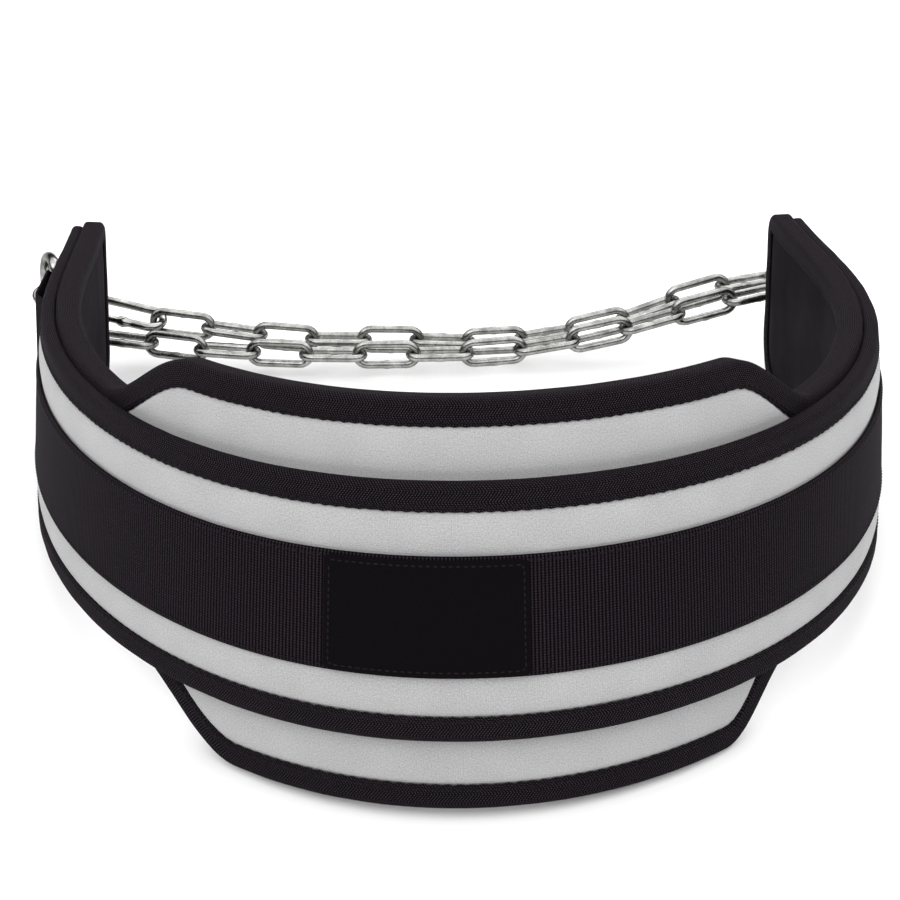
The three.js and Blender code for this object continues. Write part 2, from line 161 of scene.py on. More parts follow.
def smooth_value(rows, column, share):
    """One column at a share, on a smooth curve through the rows."""
    i = next((k for k, row in enumerate(rows) if row["share"] >= share), len(rows) - 1)
    i = min(max(i, 1), len(rows) - 1)

    def row(k):
        return rows[min(max(k, 0), len(rows) - 1)]

    def slope(k):
        return (row(k + 1)[column] - row(k - 1)[column]) / (row(k + 1)["share"] - row(k - 1)["share"])

    span = row(i)["share"] - row(i - 1)["share"]
    t = (share - row(i - 1)["share"]) / span
    t2 = t * t
    t3 = t2 * t
    return ((2 * t3 - 3 * t2 + 1) * row(i - 1)[column] + (t3 - 2 * t2 + t) * span * slope(i - 1)
            + (3 * t2 - 2 * t3) * row(i)[column] + (t3 - t2) * span * slope(i))


def smoothstep(value, low, high):
    t = min(max((value - low) / (high - low), 0.0), 1.0)
    return t * t * (3.0 - 2.0 * t)


class WaistBend:
    """Bends flat places on the cloth to the curve of the waist."""

    step = 0.005

    def __init__(self):
        self.half = sizes().half_length
        count = math.ceil((self.half + 0.06) / self.step)
        self.plan = {0: Vector((MIDDLE[0], MIDDLE[1], 0.0))}
        for side in (-1, 1):
            for k in range(1, count + 1):
                heading = self.heading(side * (k - 0.5) * self.step)
                along = Vector((math.cos(heading), math.sin(heading), 0.0))
                self.plan[side * k] = self.plan[side * (k - 1)] + along * side * self.step

    def heading(self, s):
        return math.radians(smooth_value(BEND_ROWS, "heading", min(max(s / self.half, -1.0), 1.0)))

    def lean(self, s):
        return math.radians(smooth_value(BEND_ROWS, "lean", min(max(s / self.half, -1.0), 1.0)))

    @functools.lru_cache(maxsize=None)
    def section(self, s):
        """Foot, upward and outward directions of the cloth at s."""
        k = math.floor(s / self.step)
        foot = self.plan[k].lerp(self.plan[k + 1], s / self.step - k)
        heading = self.heading(s)
        lean = self.lean(s)
        out = Vector((math.sin(heading), -math.cos(heading), 0.0))
        rise = UP * math.cos(lean) - out * math.sin(lean)
        normal = out * math.cos(lean) + UP * math.sin(lean)
        return foot, rise, normal

    def flat_to_belt(self, s, n, z):
        foot, rise, normal = self.section(s)
        return foot + rise * z + normal * n

    def place(self, s, n, z):
        return to_rest(self.flat_to_belt(s, n, z))


def to_rest(point):
    """A place in the belt's own frame, as it stands on the floor."""
    return REST_TURN @ point + REST_PLACE


def turned(direction):
    return REST_TURN @ direction


@functools.lru_cache(maxsize=None)
def band_height(side, s):
    """Half height of the band, the same at every s. Takes what pad_height takes."""
    size = sizes()
    return size.webbing_width / 2 + size.stripe_width + size.tape_width


@functools.lru_cache(maxsize=None)
def pad_height(side, s):
    size = sizes()
    row = PAD_ROWS[side]
    rise = size.pad_top_rise if side > 0 else size.pad_foot_rise
    share = s / size.half_length
    left = smoothstep(share, row["foot_left"], row["flat_left"])
    right = 1.0 - smoothstep(share, row["flat_right"], row["foot_right"])
    return band_height(side, s) + size.pad_overhang + (rise - size.pad_overhang) * min(left, right)


def corner_radius(side):
    return sizes().top_corner if side > 0 else sizes().bottom_corner


@functools.lru_cache(maxsize=None)
def edge_height(height, side, s, inset):
    """Height of the cloth's edge at s, moved in by inset, with the end corners rounded."""
    radius = corner_radius(side)
    past = abs(s) - (sizes().half_length - radius)
    if past > 0:
        reach = max(radius - inset, 0.0)
        arc = math.sqrt(max(reach * reach - past * past, 0.0))
        return side * (height(side, s) - radius + arc)
    run = 0.001
    slope = (height(side, s + run) - height(side, s - run)) / (2 * run)
    return side * (height(side, s) - inset * math.hypot(1.0, slope))


# Meshes

def grid_shell(columns, rows, levels):
    """A closed shell: a grid drawn out through its thickness.

    x and y run from -0.5 to 0.5, and z is the level, from 0 to 1."""
    shell = bmesh.new()
    bmesh.ops.create_grid(shell, x_segments=columns, y_segments=rows, size=0.5)
    skin = shell.faces[:]
    for _ in range(levels):
        drawn = bmesh.ops.extrude_face_region(shell, geom=skin)["geom"]
        skin = [item for item in drawn if isinstance(item, bmesh.types.BMFace)]
        corners = [item for item in drawn if isinstance(item, bmesh.types.BMVert)]
        bmesh.ops.translate(shell, verts=corners, vec=(0.0, 0.0, 1.0 / levels))
    return shell


def ring_shell(profile, count):
    """A profile of (outwards, up) points carried once round Z, with its radius raised to 1."""
    shell = bmesh.new()
    rows = []
    for k in range(count):
        turn = 2 * math.pi * k / count
        c = math.cos(turn)
        d = math.sin(turn)
        rows.append([shell.verts.new(((1.0 + x) * c, (1.0 + x) * d, y)) for x, y in profile])
    for k in range(count):
        here = rows[k]
        after = rows[(k + 1) % count]
        for j in range(len(profile)):
            shell.faces.new((here[j - 1], here[j], after[j], after[j - 1]))
    return shell


def spun_step(point, count):
    """Which step of the spin a vertex belongs to."""
    turn = math.atan2(point.y, point.x) / (2 * math.pi)
    return round((turn + 1.0) * count) % count


def bend_shell(shell, rule, uv_rule=None, wrap=0.0):
    """Move each vertex by a rule, after its flat place is kept as a UV map.

    wrap is the length round a ring."""
    if uv_rule:
        layer = shell.loops.layers.uv.new("cloth")
        shell.verts.index_update()
        flats = [uv_rule(corner.co) for corner in shell.verts]
        for face in shell.faces:
            far = max(flats[loop.vert.index][0] for loop in face.loops)
            for loop in face.loops:
                u, v = flats[loop.vert.index]
                loop[layer].uv = (u + wrap if far - u > wrap / 2 else u, v)
    places = [rule(corner.co) for corner in shell.verts]
    for corner, place in zip(shell.verts, places):
        corner.co = place
    bmesh.ops.recalc_face_normals(shell, faces=shell.faces[:])


def make_piece(name, shell, materials, nodes=(), smooth_angle=50.0):
    """A finished piece from a shell: it rides on the belt and stands for its nodes."""
    mesh = bpy.data.meshes.new(name)
    limit = math.radians(smooth_angle)
    for edge in shell.edges:
        edge.smooth = len(edge.link_faces) == 2 and edge.calc_face_angle(0.0) < limit
    for face in shell.faces:
        face.smooth = True
    shell.to_mesh(mesh)
    shell.free()
    for material in materials:
        mesh.materials.append(material)
    piece = bpy.data.objects.new(name, mesh)
    bpy.context.scene.collection.objects.link(piece)
    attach(piece, "root")
    if nodes:
        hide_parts(*nodes)
    return piece


# Materials

class Recipe:
    """A material with a few short ways to add nodes."""

    def __init__(self, name, base, roughness, metallic=0.0, specular=0.5):
        self.material = bpy.data.materials.new(name)
        self.material.use_nodes = True
        self.nodes = self.material.node_tree.nodes
        self.links = self.material.node_tree.links
        self.shader = self.nodes["Principled BSDF"]
        self.shader.inputs["Base Color"].default_value = (*base, 1.0)
        self.shader.inputs["Roughness"].default_value = roughness
        self.shader.inputs["Metallic"].default_value = metallic
        self.shader.inputs["Specular IOR Level"].default_value = specular

    def link(self, source, target):
        self.links.new(source, target)

    def millimetres(self, place):
        scale = self.nodes.new("ShaderNodeVectorMath")
        scale.operation = "SCALE"
        scale.inputs["Scale"].default_value = 1000.0
        self.link(place, scale.inputs[0])
        return scale.outputs[0]

    def cloth_place(self):
        """The flat place on the cloth, in millimetres."""
        uv = self.nodes.new("ShaderNodeUVMap")
        uv.uv_map = "cloth"
        place = self.millimetres(uv.outputs["UV"])
        split = self.nodes.new("ShaderNodeSeparateXYZ")
        self.link(place, split.inputs[0])
        return place, split.outputs["X"], split.outputs["Y"]

    def object_place(self):
        """The place on the object, in millimetres."""
        return self.millimetres(self.nodes.new("ShaderNodeTexCoord").outputs["Object"])

    def sums(self, operation, first, second=None, third=None):
        node = self.nodes.new("ShaderNodeMath")
        node.operation = operation
        for k, value in enumerate((first, second, third)):
            if value is None:
                continue
            if isinstance(value, (int, float)):
                node.inputs[k].default_value = value
            else:
                self.link(value, node.inputs[k])
        return node.outputs[0]

    def wave(self, value, period):
        """A smooth wave from 0 to 1 of a value, with a period in millimetres."""
        turn = self.sums("MULTIPLY", value, 2 * math.pi / period)
        return self.sums("MULTIPLY_ADD", self.sums("SINE", turn), 0.5, 0.5)

    def grain(self, place, scale, detail=3.0, roughness=0.6):
        node = self.nodes.new("ShaderNodeTexNoise")
        node.inputs["Scale"].default_value = scale
        node.inputs["Detail"].default_value = detail
        node.inputs["Roughness"].default_value = roughness
        self.link(place, node.inputs["Vector"])
        return node.outputs["Fac"]

    def tint(self, value, dark, light, low=0.0, high=1.0):
        """Base colour from dark to light as a value goes from low to high."""
        ramp = self.nodes.new("ShaderNodeValToRGB")
        ramp.color_ramp.elements[0].position = low
        ramp.color_ramp.elements[0].color = (*dark, 1.0)
        ramp.color_ramp.elements[1].position = high
        ramp.color_ramp.elements[1].color = (*light, 1.0)
        self.link(value, ramp.inputs[0])
        self.link(ramp.outputs[0], self.shader.inputs["Base Color"])

    def gloss(self, value, low, high):
        spread = self.nodes.new("ShaderNodeMapRange")
        spread.inputs["To Min"].default_value = low
        spread.inputs["To Max"].default_value = high
        self.link(value, spread.inputs["Value"])
        self.link(spread.outputs[0], self.shader.inputs["Roughness"])

    def relief(self, value, depth, strength=1.0):
        bump = self.nodes.new("ShaderNodeBump")
        bump.inputs["Strength"].default_value = strength
        bump.inputs["Distance"].default_value = depth
        self.link(value, bump.inputs["Height"])
        self.link(bump.outputs[0], self.shader.inputs["Normal"])


def scaled(colour, factor):
    return tuple(min(c * factor, 1.0) for c in colour)


def face_cloth_material():
    base = colours().face_cloth
    recipe = Recipe("silver_face_cloth", base, 0.7, specular=0.2)
    place, x, y = recipe.cloth_place()
    fine = recipe.grain(place, 1.5, 4.0, 0.75)
    broad = recipe.grain(place, 0.035, 2.0)
    mix = recipe.sums("MULTIPLY_ADD", broad, 0.12, recipe.sums("MULTIPLY", fine, 0.9))
    recipe.tint(mix, scaled(base, 0.62), scaled(base, 1.34), 0.30, 0.72)
    knit = recipe.sums("MULTIPLY", recipe.wave(x, 0.9), recipe.wave(y, 0.9))
    recipe.relief(recipe.sums("MULTIPLY_ADD", fine, 1.4, knit), 0.00012, 0.6)
    recipe.gloss(fine, 0.5, 0.75)
    return recipe.material


def lining_material():
    base = colours().lining
    recipe = Recipe("black_lining", base, 0.85, specular=0.03)
    place, x, y = recipe.cloth_place()
    fine = recipe.grain(place, 1.1, 4.0, 0.7)
    broad = recipe.grain(place, 0.02, 3.0)
    recipe.tint(recipe.sums("MULTIPLY_ADD", broad, 0.6, recipe.sums("MULTIPLY", fine, 0.4)),
                scaled(base, 0.55), scaled(base, 1.7), 0.35, 0.65)
    knit = recipe.sums("MULTIPLY", recipe.wave(x, 0.7), recipe.wave(y, 0.7))
    recipe.relief(recipe.sums("ADD", fine, knit), 0.00010, 0.5)
    return recipe.material


def tape_material():
    """Woven tape: herringbone ridges that turn at each fold line, over fine cross ribs, with painted glints
    on the ridges.
    """
    base = colours().tape
    recipe = Recipe("woven_binding", base, 0.8, specular=0.04)
    place, x, y = recipe.cloth_place()
    zigzag = recipe.sums("PINGPONG", y, 4.2)
    ridge = recipe.wave(recipe.sums("MULTIPLY_ADD", zigzag, 0.75, x), 1.25)
    row = recipe.wave(y, 0.85)
    weave = recipe.sums("MULTIPLY", ridge, recipe.sums("MULTIPLY_ADD", row, 0.6, 0.4))
    # Partly the tape's own herringbone weave and partly painted highlight: the ridges and the flecks on them
    # are painted up to eleven times lighter than the tape, as glints of light.
    fleck = recipe.grain(place, 1.6, 3.0, 0.8)
    mix = recipe.sums("MULTIPLY", weave, recipe.sums("MULTIPLY_ADD", fleck, 1.6, -0.1))
    recipe.tint(mix, scaled(base, 0.2), scaled(base, 11.0), 0.26, 1.0)
    recipe.relief(recipe.sums("MULTIPLY_ADD", fleck, 0.5, weave), 0.00035, 0.8)
    return recipe.material


def webbing_material():
    """Heavy webbing: fine ribs up the webbing, crossed by the rows of its weave."""
    base = colours().webbing
    recipe = Recipe("ribbed_webbing", base, 0.75, specular=0.03)
    place, x, y = recipe.cloth_place()
    rib = recipe.wave(x, 1.5)
    row = recipe.wave(y, 1.1)
    weave = recipe.sums("MULTIPLY", recipe.sums("MULTIPLY_ADD", rib, 0.8, 0.2),
                        recipe.sums("MULTIPLY_ADD", row, 0.45, 0.55))
    fleck = recipe.grain(place, 1.2, 3.0, 0.8)
    mix = recipe.sums("MULTIPLY", weave, recipe.sums("MULTIPLY_ADD", fleck, 1.5, 0.1))
    recipe.tint(mix, scaled(base, 0.15), scaled(base, 6.5), 0.18, 1.0)
    recipe.relief(recipe.sums("MULTIPLY_ADD", fleck, 0.4, weave), 0.0004, 0.8)
    return recipe.material


def patch_material():
    base = colours().patch
    recipe = Recipe("smooth_patch", base, 0.7, specular=0.03)
    place, x, y = recipe.cloth_place()
    fine = recipe.grain(place, 1.4, 3.0, 0.7)
    recipe.tint(fine, scaled(base, 0.7), scaled(base, 1.5), 0.3, 0.8)
    twill = recipe.wave(recipe.sums("ADD", x, y), 0.7)
    recipe.relief(recipe.sums("MULTIPLY_ADD", fine, 0.6, twill), 0.00008, 0.5)
    return recipe.material


def thread_material():
    base = colours().thread
    recipe = Recipe("sewing_thread", base, 0.7, specular=0.05)
    fine = recipe.grain(recipe.object_place(), 2.2, 2.0)
    recipe.tint(fine, scaled(base, 0.6), scaled(base, 1.8), 0.3, 0.8)
    return recipe.material


# Dark rims, as bright metal shows against a white ground
EDGE_TINT = (0.3, 0.3, 0.3)


def metal_material(name, base, low, high, pitting):
    recipe = Recipe(name, base, low, metallic=1.0)
    recipe.shader.inputs["Specular Tint"].default_value = (*EDGE_TINT, 1.0)
    place = recipe.object_place()
    broad = recipe.grain(place, 0.12, 4.0, 0.65)
    fine = recipe.grain(place, 1.1, 4.0, 0.7)
    mix = recipe.sums("MULTIPLY_ADD", fine, 0.2, recipe.sums("MULTIPLY", broad, 0.8))
    recipe.tint(mix, scaled(base, 0.6), scaled(base, 1.35), 0.38, 0.64)
    recipe.gloss(broad, low, high)
    recipe.relief(fine, pitting, 0.5)
    return recipe.material


def floor_material():
    base = colours().floor
    recipe = Recipe("pale_floor", base, 0.9, specular=0.2)
    soft = recipe.grain(recipe.object_place(), 0.002, 2.0)
    recipe.tint(soft, scaled(base, 0.99), scaled(base, 1.01), 0.3, 0.7)
    return recipe.material


def finish_named(name, maker, *values):
    """The material of that name, made once; no name may be one that the frame brought in."""
    return bpy.data.materials.get(name) or maker(*values)


def cloth(name):
    makers = {
        "silver_face_cloth": face_cloth_material,
        "black_lining": lining_material,
        "woven_binding": tape_material,
        "ribbed_webbing": webbing_material,
        "smooth_patch": patch_material,
        "sewing_thread": thread_material,
    }
    return finish_named(name, makers[name])


def metal(name):
    if name == "zinc_plating":
        return finish_named(name, metal_material, name, colours().chain, 0.16, 0.36, 0.00012)
    return finish_named(name, metal_material, name, colours().steel, 0.10, 0.24, 0.00004)


# Padded bodies

def padded_body(front, back, height, crown):
    """Foam covered with cloth: thin under the binding, dimpled along its seam and full inside it.

    crown(depth_past_tape, z, s) says how far the front stands proud."""
    size = sizes()
    bend = WaistBend()
    tape = size.tape_width
    tuck = size.tape_thickness + 0.0005
    hidden = size.tape_thickness + 0.0010
    limit = size.half_length - hidden
    insets = [hidden, tape * 0.5, tape - 0.0012, tape - 0.0002, tape + 0.0008, tape + 0.0022, tape + 0.0045]
    inner_rows = 22
    rows = 2 * (len(insets) - 1) + inner_rows
    ends = [0.0, 0.002, 0.0045, 0.0072, 0.0087, 0.0097, 0.0107, 0.012, 0.0145]
    columns = 2 * (len(ends) - 1) + round(2 * (limit - ends[-1]) / size.station_step)
    flat = columns - 2 * (len(ends) - 1)

    def station(u):
        k = round((u + 0.5) * columns)
        if k < len(ends):
            return -limit + ends[k]
        if k > columns - len(ends):
            return limit - ends[columns - k]
        t = (k - len(ends) + 1) / flat
        return (-limit + ends[-1]) * (1 - t) + (limit - ends[-1]) * t

    def row_place(v, s):
        k = round((v + 0.5) * rows)
        if k < len(insets):
            return insets[k], edge_height(height, -1, s, insets[k])
        if k > rows - len(insets):
            return insets[rows - k], edge_height(height, 1, s, insets[rows - k])
        low = edge_height(height, -1, s, insets[-1])
        high = edge_height(height, 1, s, insets[-1])
        t = (k - len(insets) + 1) / inner_rows
        return min(t, 1 - t) * (high - low) + insets[-1], low + (high - low) * t

    def rule(co):
        s = station(co.x)
        inset, z = row_place(co.y, s)
        inset = min(inset, size.half_length - abs(s))
        full = smoothstep(inset, tape - 0.0009, tape + 0.0004)
        dent = 0.0007 * math.exp(-max(inset - tape, 0.0) / 0.0025)
        share = co.z
        side_front = front - tuck * (1 - full) + full * (crown(inset - tape, z, s) - dent)
        lining = 0.0005 * noise.noise(Vector((s * 26, z * 9, 3.0))) + 0.0003 * noise.noise(
            Vector((s * 90, z * 22, 7.0)))
        swell = 0.0012 * smoothstep(inset, tape, tape + 0.02)
        side_back = back + tuck * (1 - full) - full * (swell - dent + lining - 0.0006)
        return bend.place(s, side_front + (side_back - side_front) * share, z)

    shell = grid_shell(columns, rows, 1)
    for face in shell.faces:
        face.material_index = 1 if face.calc_center_median().z > 0.3 else 0
    bend_shell(shell, rule, lambda co: (station(co.x), row_place(co.y, station(co.x))[1]))
    return shell


class BELT_OT_pad(bpy.types.Operator):
    """Make the wide pad that lies on the back of the waist"""

    bl_idname = "belt.pad"
    bl_label = "Wide Pad"

    def execute(self, context):
        size = sizes()
        front = -size.band_thickness - size.gap
        band = band_height(1, 0.0)

        def crown(past, z, s):
            outside = abs(z) - band
            if outside <= 0:
                return -0.0002
            return 0.0007 * math.sin(math.pi * min(outside / 0.022, 1.0))

        shell = padded_body(front, front - size.pad_thickness, pad_height, crown)
        pad = make_piece("wide_pad", shell, [cloth("silver_face_cloth"), cloth("black_lining")],
                         ["back_pad"])
        return {"FINISHED"}


class BELT_OT_band(bpy.types.Operator):
    """Make the long front band with its two silver stripes"""

    bl_idname = "belt.band"
    bl_label = "Front Band"

    def execute(self, context):
        size = sizes()
        half = size.webbing_width / 2

        def crown(past, z, s):
            outside = abs(z) - half
            if outside <= 0:
                return -0.0002
            return 0.0011 * math.sin(math.pi * min(outside / size.stripe_width, 1.0))

        shell = padded_body(0.0, -size.band_thickness, band_height, crown)
        band = make_piece("front_band", shell, [cloth("silver_face_cloth"), cloth("black_lining")],
                          ["outer_band"])
        return {"FINISHED"}


# Binding

def edge_outline(height):
    """The whole edge in order round the belt, each as a rule from inset to a flat (s, z)."""
    size = sizes()
    step = size.station_step * 0.6
    outline = []

    def run(side, start, stop):
        count = max(round(abs(stop - start) / step), 2)
        for k in range(count):
            s = start + (stop - start) * k / count
            outline.append(lambda inset, s=s: (s, edge_height(height, side, s, inset)))

    def corner(end, side, opening):
        radius = corner_radius(side)
        count = 10
        for k in range(count):
            angle = math.pi / 2 * (k / count if opening else 1 - k / count)

            def rule(inset, angle=angle):
                reach = radius - inset
                return (end * (size.half_length - radius + reach * math.sin(angle)),
                        side * (height(side, end * size.half_length) - radius + reach * math.cos(angle)))
            outline.append(rule)

    def end_wall(end, start_side):
        high = height(start_side, end * size.half_length) - corner_radius(start_side)
        low = height(-start_side, end * size.half_length) - corner_radius(-start_side)
        count = max(round((high + low) / step), 2)
        for k in range(count):
            z = start_side * (high - (high + low) * k / count)
            outline.append(lambda inset, z=z: (end * (size.half_length - inset), z))

    top = size.half_length - size.top_corner
    bottom = size.half_length - size.bottom_corner
    run(1, -top, top)
    corner(1, 1, True)
    end_wall(1, 1)
    corner(1, -1, False)
    run(-1, bottom, -bottom)
    corner(-1, -1, True)
    end_wall(-1, -1)
    corner(-1, 1, False)
    return outline


def binding_ring(front, back, height, seed):
    """Tape folded over the whole edge: a soft fold, a low ridge along it and a toothed selvedge."""
    size = sizes()
    bend = WaistBend()
    tape = size.tape_width
    wall = size.tape_thickness
    proud = 0.0004
    profile = [
        (front - 0.0002, tape), (front + proud * 0.7, tape - 0.0005), (front + proud, tape - 0.0020),
        (front + proud * 0.6, tape * 0.62), (front + proud, tape * 0.42), (front + proud * 0.7, 0.0024),
        (front - 0.0003, 0.0012), (front - 0.0011, 0.0004), (front - 0.0022, 0.0),
        (back + 0.0022, 0.0), (back + 0.0011, 0.0004), (back + 0.0003, 0.0012), (back - proud * 0.7, 0.0024),
        (back - proud, tape * 0.42), (back - proud * 0.6, tape * 0.62), (back - proud, tape - 0.0020),
        (back - proud * 0.7, tape - 0.0005), (back + 0.0002, tape),
        (back + wall, tape - 0.0004), (back + wall, wall + 0.0004), (front - wall, wall + 0.0004),
        (front - wall, tape - 0.0004),
    ]
    outline = edge_outline(height)
    count = len(outline)
    shell = ring_shell([(-inset, n) for n, inset in profile], count)
    across = {}
    travel = 0.0
    for k, (n, inset) in enumerate(profile):
        if k:
            travel += math.hypot(n - profile[k - 1][0], inset - profile[k - 1][1])
        across[(round(inset * 1e5), round(n * 1e5))] = travel
    along = [0.0]
    for k in range(1, count + 1):
        a = Vector(outline[k - 1](0.0))
        b = Vector(outline[k % count](0.0))
        along.append(along[-1] + (b - a).length)

    def flat(co):
        k = spun_step(co, count)
        inset = 1.0 - math.hypot(co.x, co.y)
        return k, inset, co.z

    def uv_rule(co):
        k, inset, n = flat(co)
        key = (round(inset * 1e5), round(n * 1e5))
        near = key if key in across else min(across, key=lambda c: abs(c[0] - key[0]) + abs(c[1] - key[1]))
        return along[k], across[near]

    def rule(co):
        k, inset, n = flat(co)
        tooth = 0.0
        if inset > tape - 0.0008:
            tooth = 0.00022 * (1 if k % 2 else -1) + 0.00025 * noise.noise(Vector((k * 0.7, seed, 0.0)))
        wavy = 0.00025 * noise.noise(Vector((along[k] * 60, n * 300, seed)))
        s, z = outline[k](inset + tooth)
        return bend.place(s, n + wavy, z)

    bend_shell(shell, rule, uv_rule, along[count])
    return shell


class BELT_OT_binding(bpy.types.Operator):
    """Make the tape folded over the edges of the pad and the band"""

    bl_idname = "belt.binding"
    bl_label = "Bindings"

    def execute(self, context):
        size = sizes()
        front = -size.band_thickness - size.gap
        shell = binding_ring(front, front - size.pad_thickness, pad_height, 1.0)
        make_piece("pad_tape", shell, [cloth("woven_binding")], ["pad_binding"])
        shell = binding_ring(0.0, -size.band_thickness, band_height, 2.0)
        make_piece("band_tape", shell, [cloth("woven_binding")], ["band_binding"])
        return {"FINISHED"}


# Webbing and patch

def strap_shell(start, stop, half, inner, thickness, soft, corner=0.0):
    """A flat strip of cloth on the band's face, with rounded edges and corners."""
    bend = WaistBend()
    columns = max(round((stop - start) / 0.003), 8)
    rows = 18

    def flat(co):
        u = co.x + 0.5
        v = co.y * 2
        s = start + (stop - start) * u
        z = half * math.copysign(1 - (1 - abs(v)) ** 1.35, v)
        if corner:
            past = corner - min(s - start, stop - s)
            if past > 0:
                z *= (half - corner + math.sqrt(max(corner ** 2 - past ** 2, 0.0))) / half
        return s, z

    def rule(co):
        s, z = flat(co)
        edge = min(half - abs(z), s - start, stop - s) if corner else half - abs(z)
        fall = soft * (1 - smoothstep(edge, 0.0, 0.0014))
        ripple = 0.00012 * noise.noise(Vector((s * 40, z * 60, half)))
        n = inner + (thickness + ripple - fall) * (1 - co.z) + 0.35 * fall * co.z
        return bend.place(s, n, z)

    shell = grid_shell(columns, rows, 2)
    bend_shell(shell, rule, flat)
    return shell


class BELT_OT_webbing(bpy.types.Operator):
    """Make the webbing along the middle of the band"""

    bl_idname = "belt.webbing"
    bl_label = "Webbing"

    def execute(self, context):
        size = sizes()
        end = size.half_length - size.tape_width - 0.0006
        shell = strap_shell(-end, end, size.webbing_width / 2, size.gap, size.webbing_thickness, 0.0007)
        make_piece("ribbed_band", shell, [cloth("ribbed_webbing")], ["center_webbing"])
        return {"FINISHED"}


class BELT_OT_patch(bpy.types.Operator):
    """Make the blank patch sewn on the webbing"""

    bl_idname = "belt.patch"
    bl_label = "Blank Patch"

    def execute(self, context):
        size = sizes()
        inner = 2 * size.gap + size.webbing_thickness
        start = size.label_centre - size.label_width / 2
        shell = strap_shell(start, start + size.label_width, size.label_height / 2, inner,
                            size.label_thickness, 0.0005, corner=0.0012)
        make_piece("blank_patch", shell, [cloth("smooth_patch")], ["label_patch"])
        return {"FINISHED"}


# Tabs

def bar_place():
    """Distance along the belt and height over its face of a ring's bar."""
    size = sizes()
    return (size.half_length - size.ring_from_end,
            size.tab_standoff - size.webbing_thickness - size.gap - size.ring_wire / 2)


def tab_path():
    """The middle line of the tab's webbing, from its upper foot over the bar and back along the belt."""
    size = sizes()
    bar_s, bar_n = bar_place()
    half = size.webbing_thickness / 2
    fold = size.ring_wire / 2 + size.gap + half
    foot = 3 * size.gap + size.webbing_thickness + half
    start = bar_s - size.tab_length
    path = [Vector((start, foot + 2 * half)), Vector((start + size.tab_length * 0.12, foot + 2.1 * half)),
            Vector((start + size.tab_length * 0.2, foot + 3.4 * half))]
    crest = start + size.tab_length * 0.40
    path.append(Vector((crest - 0.004, bar_n + fold - 0.0009)))
    path.append(Vector((crest + 0.002, bar_n + fold)))
    for k in range(1, 8):
        path.append(Vector((crest + (bar_s - crest) * k / 8, bar_n + fold)))
    for k in range(13):
        angle = math.pi / 2 - math.pi * k / 12
        path.append(Vector((bar_s + fold * math.cos(angle), bar_n + fold * math.sin(angle))))
    low = bar_s - fold * 1.6
    path.append(Vector((bar_s - fold * 0.6, bar_n - fold - 0.0003)))
    path.append(Vector((low, foot + 0.0002)))
    for k in range(1, 10):
        path.append(Vector((low + (start - low) * k / 9, foot)))
    return path


def tab_shell(end):
    bend = WaistBend()
    size = sizes()
    path = tab_path()
    count = len(path) - 1
    half = size.webbing_width / 2
    thick = size.webbing_thickness
    travel = [0.0]
    for k in range(count):
        travel.append(travel[-1] + (path[k + 1] - path[k]).length)

    def normal(k):
        before = path[max(k - 1, 0)]
        after = path[min(k + 1, count)]
        along = (after - before).normalized()
        return Vector((-along.y, along.x))

    def rule(co):
        k = round((co.x + 0.5) * count)
        z = half * math.copysign(1 - (1 - abs(co.y * 2)) ** 1.35, co.y)
        edge = smoothstep(half - abs(z), 0.0, 0.0012)
        place = path[k] + normal(k) * (0.5 - co.z) * (thick - 0.0006 * (1 - edge))
        return bend.place(end * place.x, place.y, z)

    shell = grid_shell(count, 16, 2)
    bend_shell(shell, rule, lambda co: (travel[round((co.x + 0.5) * count)], co.y * 2 * half))
    return shell


class BELT_OT_tabs(bpy.types.Operator):
    """Make the two webbing tabs folded over the rings' bars"""

    bl_idname = "belt.tabs"
    bl_label = "Ring Tabs"

    def execute(self, context):
        for name, end in (("left", -1), ("right", 1)):
            make_piece("tab_" + name, tab_shell(end), [cloth("ribbed_webbing")],
                       ["ring_tab_" + name])
        return {"FINISHED"}


# Wire pieces

def wire_loop(points, wire, sides, swell=None):
    """Round wire through flat points, closed on itself. swell(k) widens it at a point."""
    count = len(points)
    circle = [(wire / 2 * math.cos(2 * math.pi * k / sides), wire / 2 * math.sin(2 * math.pi * k / sides))
              for k in range(sides)]
    shell = ring_shell(circle, count)

    def rule(co):
        k = spun_step(co, count)
        tangent = (points[(k + 1) % count] - points[k - 1]).normalized()
        factor = swell(k) if swell else 1.0
        out = (math.hypot(co.x, co.y) - 1.0) * factor
        return Vector((points[k].x + tangent.y * out, points[k].y - tangent.x * out, co.z * factor))

    bend_shell(shell, rule)
    return shell


def oval_points(inner_length, inner_width, wire, arc, side):
    """Middle of the wire round an oval: two straight sides and two half circles."""
    radius = (inner_width + wire) / 2
    reach = (inner_length - inner_width) / 2
    points = []
    for end in (1, -1):
        for k in range(arc + 1):
            angle = -end * math.pi / 2 + math.pi * k / arc
            points.append(Vector((end * reach + radius * math.cos(angle), radius * math.sin(angle))))
        for k in range(1, side):
            points.append(Vector((end * reach * (1 - 2 * k / side), end * radius)))
    return points


def ring_points():
    size = sizes()
    half = (size.ring_inner_width + size.ring_wire) / 2
    small = size.ring_wire * 0.6
    bow = size.ring_corner
    depth = size.ring_depth

    def arc(cx, cy, rx, ry, start, stop, count):
        return [Vector((cx + rx * math.cos(start + (stop - start) * k / count),
                        cy + ry * math.sin(start + (stop - start) * k / count))) for k in range(count + 1)]

    points = [Vector((0.0, (half - small) * (1 - 2 * k / 8))) for k in range(8)]
    points += arc(small, -half + small, small, small, math.pi, 1.5 * math.pi, 6)
    points += arc(depth - bow * 2, -half + bow, bow * 2, bow, -math.pi / 2, 0.0, 10)
    points += arc(depth - bow * 2, half - bow, bow * 2, bow, 0.0, math.pi / 2, 10)
    points += arc(small, half - small, small, small, math.pi / 2, math.pi, 6)[:-1]
    kept = []
    for point in points:
        if all((point - other).length > 0.0004 for other in kept):
            kept.append(point)
    return kept


